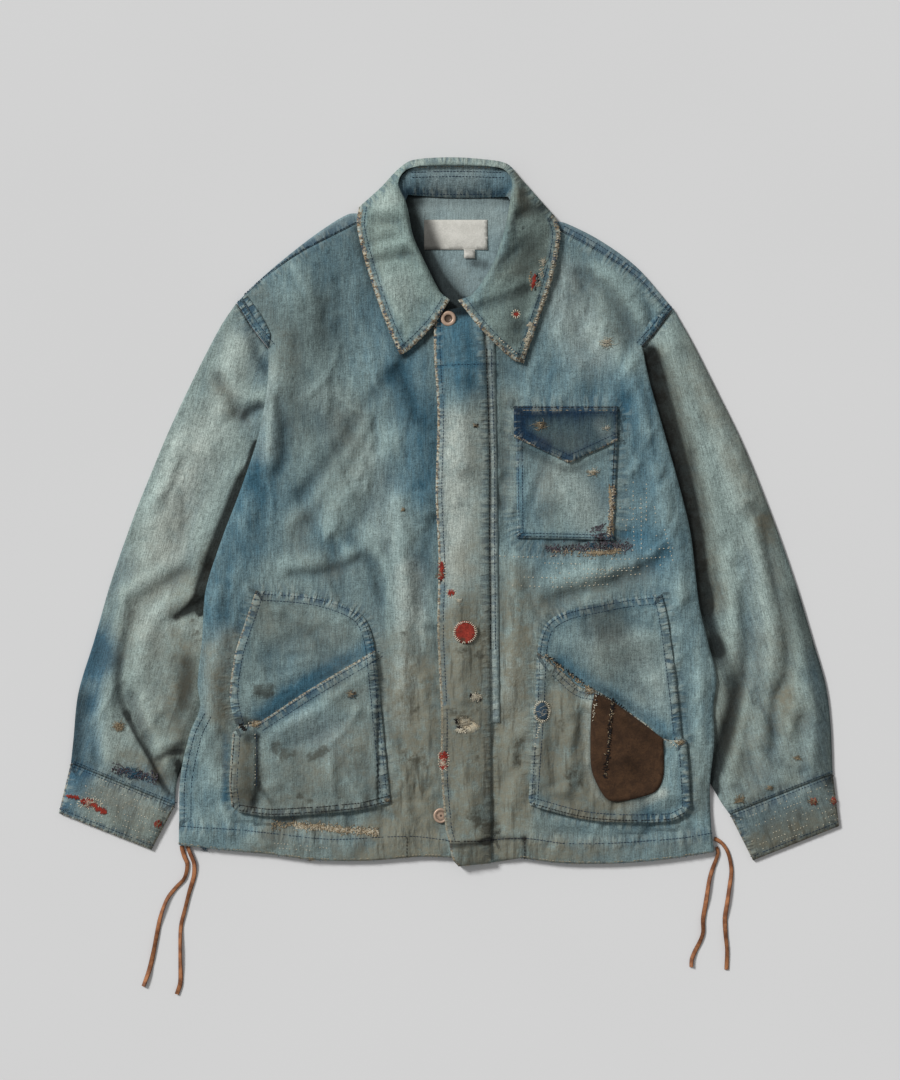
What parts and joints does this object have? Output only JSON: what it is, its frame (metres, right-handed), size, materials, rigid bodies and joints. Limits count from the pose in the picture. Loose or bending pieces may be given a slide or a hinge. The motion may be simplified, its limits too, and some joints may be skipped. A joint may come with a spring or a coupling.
{
  "type": "patched boro jacket",
  "caption": "Worn denim work jacket with a fly front, patch pockets, darns, patches and leather side laces, laid flat on its back.",
  "frame": {"origin": "centre of the jacket's box without the laces, on the surface that its back lies on", "axes": "+Z out of the jacket's front, +Y towards the collar, +X towards the wearer's left sleeve"},
  "size_m": [0.8196, 0.88, 0.0211],
  "materials": {
    "denim_body": "faded blue-grey twill denim, brown stains towards the hem, worn matt",
    "denim_sleeve": "sage-grey faded twill denim, matt",
    "denim_collar": "pale sage faded twill denim with blue edges, matt",
    "denim_pocket": "faded twill denim with dark oil stains, matt",
    "denim_indigo": "darker indigo twill denim, matt",
    "denim_inside": "grey wrong side of the denim, matt",
    "cloth_brown": "dark brown cotton, matt",
    "cloth_red": "faded red cotton, matt",
    "cloth_blue": "mid-blue cotton, matt",
    "cloth_cream": "cream cotton backing, matt",
    "label_blank": "off-white woven tape, blank",
    "thread_pale": "cream and tan cotton thread, matt",
    "thread_blue": "dark blue cotton thread, matt",
    "thread_red": "red cotton thread, matt",
    "button_metal": "worn dull copper-brass",
    "leather_lace": "tan leather lace with a darker edge"
  },
  "bodies": {
    "root": {"back": "denim_inside", "front_right": "denim_body", "front_left": "denim_body", "fly_placket": "denim_body", "fly_facing": "denim_body", "collar_stand": "denim_inside", "collar": "denim_collar", "sleeve_right": "denim_sleeve", "sleeve_left": "denim_sleeve", "cuff_right": "denim_sleeve", "cuff_left": "denim_sleeve", "armhole_band_right": "denim_sleeve", "armhole_band_left": "denim_sleeve", "chest_pocket": "denim_pocket", "chest_pocket_flap": "denim_indigo", "hand_pocket_right": "denim_pocket", "hand_pocket_left": "denim_pocket", "hand_pocket_right_panel": "denim_pocket", "hand_pocket_left_panel": "denim_pocket", "brown_patch": "cloth_brown", "red_patch": "cloth_red", "neck_label": "label_blank", "size_tab": "label_blank", "top_button": "button_metal", "bottom_button": "button_metal", "lace_right_a": "leather_lace", "lace_right_b": "leather_lace", "lace_left_a": "leather_lace", "lace_left_b": "leather_lace"}
  },
  "joints": []
}
